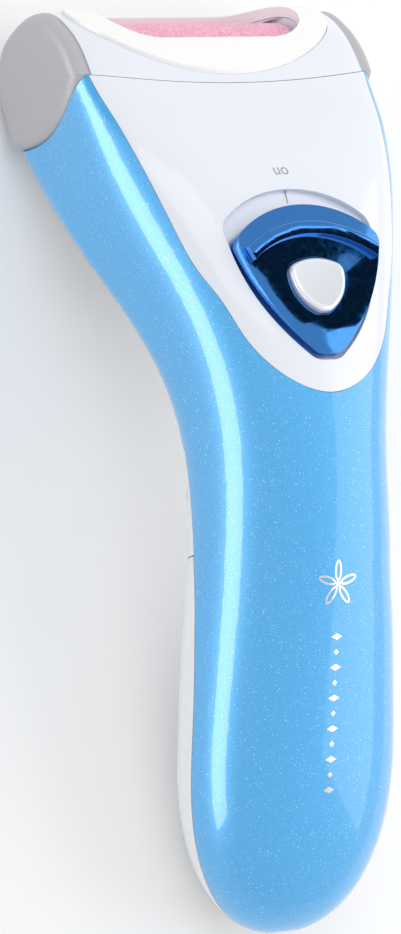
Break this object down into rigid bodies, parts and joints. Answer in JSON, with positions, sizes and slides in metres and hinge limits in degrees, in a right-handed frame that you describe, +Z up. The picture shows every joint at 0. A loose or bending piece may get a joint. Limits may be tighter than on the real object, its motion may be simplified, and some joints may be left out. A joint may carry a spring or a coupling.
{
  "type": "electric callus remover",
  "caption": "Handheld battery callus remover with a geared abrasive roller in a wide head, a slide switch with a lock button, and a removable battery cover.",
  "frame": {"origin": "centre of the footprint at table height, lying on its back", "axes": "+Z up out of the face, +Y along the body towards the roller head, +X to the right"},
  "size_m": [0.0678, 0.1779, 0.0537],
  "materials": {
    "pearl_blue": "pearl lacquer with fine glitter",
    "white_shell": "glossy white",
    "white_cover": "glossy white",
    "panel_white": "glossy white",
    "nose_white": "glossy white",
    "bezel_white": "glossy warm white",
    "cap_grey": "satin grey",
    "abrasive_pink": "fine mineral grit",
    "core_white": "moulded",
    "gear_white": "moulded",
    "pinion_brass": "machined",
    "bush_dark": "moulded",
    "plunger_white": "moulded",
    "spring_steel": "drawn wire",
    "nickel": "nickel plated",
    "motor_steel": "plated",
    "motor_cap_white": "moulded",
    "copper_tabs": "plated",
    "magnet_grey": "sintered",
    "armature_copper": "wound wire",
    "shaft_steel": "ground",
    "plate_black": "moulded",
    "switch_black": "moulded",
    "board_green": "solder mask",
    "screw_steel": "zinc plated",
    "tray_white": "moulded",
    "cell_wrap": "plain sleeve",
    "lead_red": "insulation",
    "lead_black": "insulation",
    "switch_blue_chrome": "blue electroplate",
    "button_silver": "bright electroplate",
    "carriage_white": "moulded"
  },
  "bodies": {
    "shell": {"front_shell": "pearl_blue", "back_shell": "white_shell", "shell_screws": "screw_steel", "face_panel": "panel_white", "roller_housing": "nose_white", "window_bezel": "bezel_white", "left_cap": "cap_grey", "right_cap": "cap_grey", "drive_bush": "bush_dark", "motor_can": "motor_steel", "motor_end_cap": "motor_cap_white", "motor_terminals": "copper_tabs", "motor_magnets": "magnet_grey", "motor_plate": "plate_black", "idler_pin": "shaft_steel", "micro_switch": "switch_black", "circuit_board": "board_green", "board_screws": "screw_steel", "battery_tray": "tray_white", "battery_left": "cell_wrap", "battery_right": "cell_wrap", "contact_plates": "nickel", "contact_springs": "nickel", "battery_leads": "lead_red", "motor_leads": "lead_black", "plunger_spring": "spring_steel"},
    "battery_cover": {"battery_cover": "white_cover"},
    "roller": {"roller_sleeve": "abrasive_pink", "roller_core": "core_white", "roller_gear": "gear_white"},
    "idler": {"idler_gear": "gear_white"},
    "rotor": {"motor_pinion": "pinion_brass", "motor_shaft": "shaft_steel", "motor_armature": "armature_copper"},
    "plunger": {"idle_plunger": "plunger_white"},
    "slider": {"switch_slider": "switch_blue_chrome", "switch_carriage": "carriage_white", "lock_spring": "spring_steel"},
    "lock_button": {"lock_button": "button_silver"}
  },
  "joints": [
    {"name": "roller_spin", "type": "hinge", "parent": "shell", "child": "roller", "pos_m": [0, 0.0756, 0.015], "axis": [1, 0, 0], "continuous": true},
    {"name": "idler_spin", "type": "hinge", "parent": "shell", "child": "idler", "pos_m": [0, 0.06386, 0.02263], "axis": [1, 0, 0], "continuous": true},
    {"name": "motor_spin", "type": "hinge", "parent": "shell", "child": "rotor", "pos_m": [0, 0.05503, 0.0209], "axis": [1, 0, 0], "continuous": true},
    {"name": "switch_slide", "type": "slide", "parent": "shell", "child": "slider", "axis": [0, 0.9836, -0.1805], "range_m": [0, 0.0035]},
    {"name": "lock_button_press", "type": "slide", "parent": "slider", "child": "lock_button", "axis": [0, -0.1805, -0.9836], "range_m": [0, 0.0012], "stiffness_N_per_m": 400, "springref_m": -0.0008, "deforming": ["lock_spring"]},
    {"name": "plunger_slide", "type": "slide", "parent": "shell", "child": "plunger", "axis": [1, 0, 0], "range_m": [0, 0.0031], "stiffness_N_per_m": 500, "springref_m": -0.001, "deforming": ["plunger_spring"]},
    {"name": "battery_cover_slide", "type": "slide", "parent": "shell", "child": "battery_cover", "axis": [0, -0.891, -0.454], "range_m": [0, 0.075]}
  ],
  "couplings": [
    {"joint": "idler_spin", "follows": "roller_spin", "ratio": -1.3333},
    {"joint": "motor_spin", "follows": "roller_spin", "ratio": 2.6667}
  ]
}
